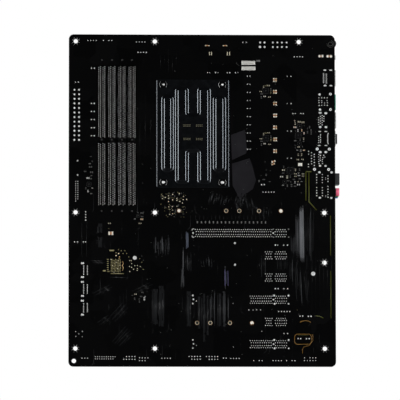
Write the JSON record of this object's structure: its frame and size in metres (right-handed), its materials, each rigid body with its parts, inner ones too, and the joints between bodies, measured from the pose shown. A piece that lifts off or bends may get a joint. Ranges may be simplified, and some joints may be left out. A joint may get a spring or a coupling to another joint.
{
  "type": "computer motherboard",
  "caption": "Full-size computer motherboard with processor socket and backplate, memory and expansion slots, heatsinks, rear port stack, levers, latches, buttons and a small fan.",
  "frame": {"origin": "centre of the rectangle of the four outer standoff holes, on the solder face of the board", "axes": "+X towards the rear port edge, +Z towards the processor edge, which is up in a tower case, +Y out of the component face"},
  "size_m": [0.2479, 0.0416, 0.3048],
  "materials": {
    "board_black": "glossy black solder mask over glass-epoxy laminate",
    "backplate_black": "pressed steel with glossy black lacquer",
    "insulator_film": "thin black insulating film",
    "bright_steel": "nickel-plated steel",
    "socket_grey": "moulded dark grey plastic",
    "socket_ivory": "moulded ivory plastic",
    "bracket_black": "moulded black plastic",
    "slot_black": "moulded black plastic, satin",
    "contact_gold": "gold-plated contacts",
    "armour_steel": "stamped steel shield",
    "socket_black": "moulded black nylon",
    "tinned_brass": "tin-plated brass",
    "port_black": "moulded black plastic",
    "choke_ferrite": "pressed iron-powder block, dark grey",
    "chip_epoxy": "black epoxy package",
    "thermal_pad": "soft grey thermal pad",
    "pipe_nickel": "nickel-plated copper",
    "sink_black": "black anodised aluminium",
    "sink_grey": "dark grey anodised aluminium",
    "capacitor_can": "bare aluminium can",
    "capacitor_gold": "gold sleeved can",
    "port_shell": "bright plated steel shell",
    "ps2_plastic": "green and purple moulded plastic",
    "audio_plastic": "black moulded plastic with coloured jack rings",
    "button_white": "moulded button",
    "cover_black": "black moulded cover, satin",
    "fan_plastic": "black moulded rotor",
    "shroud_grey": "brushed dark aluminium",
    "latch_grey": "moulded grey plastic",
    "screw_black": "blackened steel",
    "battery_steel": "plain nickel-plated steel"
  },
  "bodies": {
    "board": {"atx_power_socket": "socket_black", "audio_capacitors": "capacitor_gold", "audio_jack_block": "audio_plastic", "backplate_insulator": "insulator_film", "backplate_posts": "bright_steel", "battery": "battery_steel", "battery_holder": "port_black", "bracket_screws": "bright_steel", "button_housings": "port_black", "chipset": "chip_epoxy", "chipset_fan_shroud": "shroud_grey", "chipset_heatsink": "sink_black", "cooler_brackets": "bracket_black", "cpu_backplate": "backplate_black", "cpu_power_sockets": "socket_black", "crystals": "battery_steel", "dimm_contacts": "contact_gold", "dimm_slots": "slot_black", "front_usb_headers": "socket_black", "hdmi_port": "port_shell", "header_pins": "contact_gold", "heat_pipe": "pipe_nickel", "heatsink_screws": "screw_black", "ic_packages": "chip_epoxy", "io_cover": "cover_black", "lan_usb_stack": "port_shell", "m2_heatsinks": "sink_grey", "m2_sockets": "port_black", "m2_standoffs": "tinned_brass", "pcb": "board_black", "pcie_contacts": "contact_gold", "pcie_slot_armour": "armour_steel", "pcie_x16_slots": "slot_black", "pcie_x1_slots": "slot_black", "pin_header_bases": "socket_black", "polymer_capacitors": "capacitor_can", "power_pins": "tinned_brass", "ps2_port": "ps2_plastic", "sata_ports": "port_black", "socket_base": "socket_grey", "thermal_pads": "thermal_pad", "usb_stack_lower": "port_shell", "usb_stack_upper": "port_shell", "vrm_chokes": "choke_ferrite", "vrm_heatsink_side": "sink_black", "vrm_heatsink_top": "sink_black", "vrm_power_stages": "chip_epoxy"},
    "socket_cover": {"socket_cover": "socket_ivory"},
    "socket_lever": {"socket_lever": "bright_steel"},
    "dimm_latch_1": {"dimm_latch_1": "latch_grey"},
    "dimm_latch_2": {"dimm_latch_2": "latch_grey"},
    "dimm_latch_3": {"dimm_latch_3": "latch_grey"},
    "dimm_latch_4": {"dimm_latch_4": "latch_grey"},
    "pcie_latch_1": {"pcie_latch_1": "latch_grey"},
    "pcie_latch_2": {"pcie_latch_2": "latch_grey"},
    "pcie_latch_3": {"pcie_latch_3": "latch_grey"},
    "fan_rotor": {"fan_rotor": "fan_plastic"},
    "flash_button": {"flash_button": "button_white"},
    "power_button": {"power_button": "button_white"}
  },
  "joints": [
    {"name": "socket_lever_hinge", "type": "hinge", "parent": "board", "child": "socket_lever", "pos_m": [-0.00662, 0.0041, 0.11166], "axis": [-1, 0, 0], "range_deg": [0, 90]},
    {"name": "socket_cover_slide", "type": "slide", "parent": "board", "child": "socket_cover", "axis": [0, 0, 1], "range_m": [0, 0.0012]},
    {"name": "dimm_latch_1_hinge", "type": "hinge", "parent": "board", "child": "dimm_latch_1", "pos_m": [-0.08982, 0.005, 0.20256], "axis": [1, 0, 0], "range_deg": [0, 30]},
    {"name": "dimm_latch_2_hinge", "type": "hinge", "parent": "board", "child": "dimm_latch_2", "pos_m": [-0.08059, 0.005, 0.20256], "axis": [1, 0, 0], "range_deg": [0, 30]},
    {"name": "dimm_latch_3_hinge", "type": "hinge", "parent": "board", "child": "dimm_latch_3", "pos_m": [-0.07136, 0.005, 0.20256], "axis": [1, 0, 0], "range_deg": [0, 30]},
    {"name": "dimm_latch_4_hinge", "type": "hinge", "parent": "board", "child": "dimm_latch_4", "pos_m": [-0.06212, 0.005, 0.20256], "axis": [1, 0, 0], "range_deg": [0, 30]},
    {"name": "pcie_latch_1_hinge", "type": "hinge", "parent": "board", "child": "pcie_latch_1", "pos_m": [-0.01242, 0.0046, 0.04336], "axis": [0, 0, 1], "range_deg": [0, 25]},
    {"name": "pcie_latch_2_hinge", "type": "hinge", "parent": "board", "child": "pcie_latch_2", "pos_m": [-0.01242, 0.0046, -0.0176], "axis": [0, 0, 1], "range_deg": [0, 25]},
    {"name": "pcie_latch_3_hinge", "type": "hinge", "parent": "board", "child": "pcie_latch_3", "pos_m": [-0.01242, 0.0046, -0.05824], "axis": [0, 0, 1], "range_deg": [0, 25]},
    {"name": "fan_spin", "type": "hinge", "parent": "board", "child": "fan_rotor", "pos_m": [-0.06502, 0.0096, 0.01406], "axis": [0, 1, 0], "continuous": true},
    {"name": "flash_button_press", "type": "slide", "parent": "board", "child": "flash_button", "axis": [-1, 0, 0], "range_m": [0, 0.0005], "stiffness_N_per_m": 400},
    {"name": "power_button_press", "type": "slide", "parent": "board", "child": "power_button", "axis": [0, -1, 0], "range_m": [0, 0.00025], "stiffness_N_per_m": 400}
  ],
  "couplings": [
    {"joint": "socket_cover_slide", "follows": "socket_lever_hinge", "m_per_rad": 0.00076318}
  ]
}
